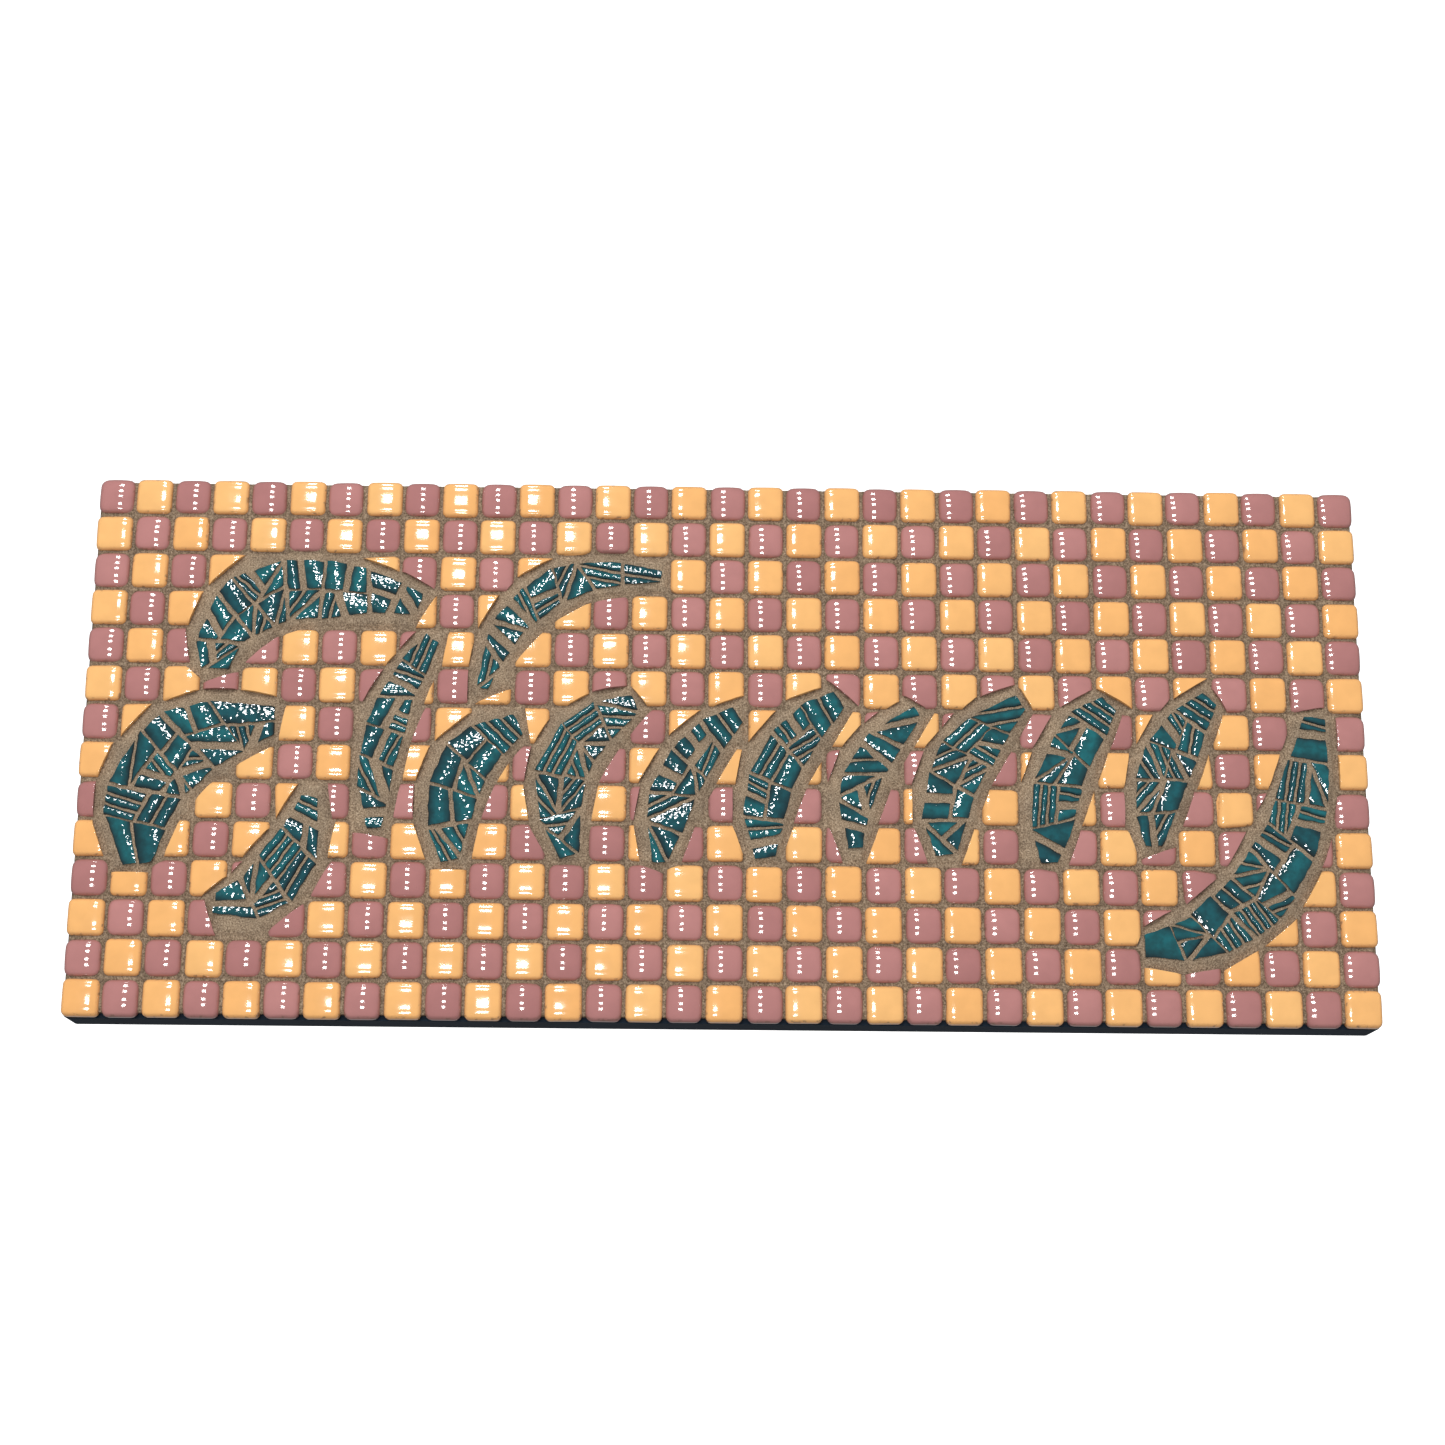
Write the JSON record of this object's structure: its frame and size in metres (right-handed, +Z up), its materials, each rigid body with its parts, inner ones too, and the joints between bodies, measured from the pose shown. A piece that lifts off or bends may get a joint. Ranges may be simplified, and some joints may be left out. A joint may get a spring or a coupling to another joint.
{
  "type": "mosaic panel",
  "caption": "Wall-hung mosaic panel: small square glazed tiles in a pink and apricot chequer, with curved strokes of broken teal tile in grout, on a painted board.",
  "frame": {"origin": "middle of the board's back face, which lies against the wall", "axes": "+Z up, +X along the panel's length, to the right seen from the front, -Y out of the wall towards the viewer"},
  "size_m": [0.3788, 0.0168, 0.1628],
  "materials": {
    "board": "satin navy paint",
    "grout": "matte sanded grout",
    "pink_tile": "gloss glaze",
    "apricot_tile": "gloss glaze",
    "teal_tile": "high gloss glaze over ribs"
  },
  "bodies": {
    "root": {"backing_board": "board", "grout_bed": "grout", "tile_row_01": "pink_tile", "tile_row_02": "apricot_tile", "tile_row_03": "pink_tile", "tile_row_04": "apricot_tile", "tile_row_05": "pink_tile", "tile_row_06": "apricot_tile", "tile_row_07": "pink_tile", "tile_row_08": "apricot_tile", "tile_row_09": "pink_tile", "tile_row_10": "apricot_tile", "tile_row_11": "pink_tile", "tile_row_12": "apricot_tile", "tile_row_13": "pink_tile", "tile_row_14": "apricot_tile", "teal_stroke_1": "teal_tile", "teal_stroke_2": "teal_tile", "teal_stroke_3": "teal_tile", "teal_stroke_4": "teal_tile", "teal_stroke_5": "teal_tile", "teal_stroke_6": "teal_tile", "teal_stroke_7": "teal_tile", "teal_stroke_8": "teal_tile", "teal_stroke_9": "teal_tile", "teal_stroke_10": "teal_tile", "teal_stroke_11": "teal_tile", "teal_stroke_12": "teal_tile", "teal_stroke_13": "teal_tile", "teal_stroke_14": "teal_tile"}
  },
  "joints": []
}
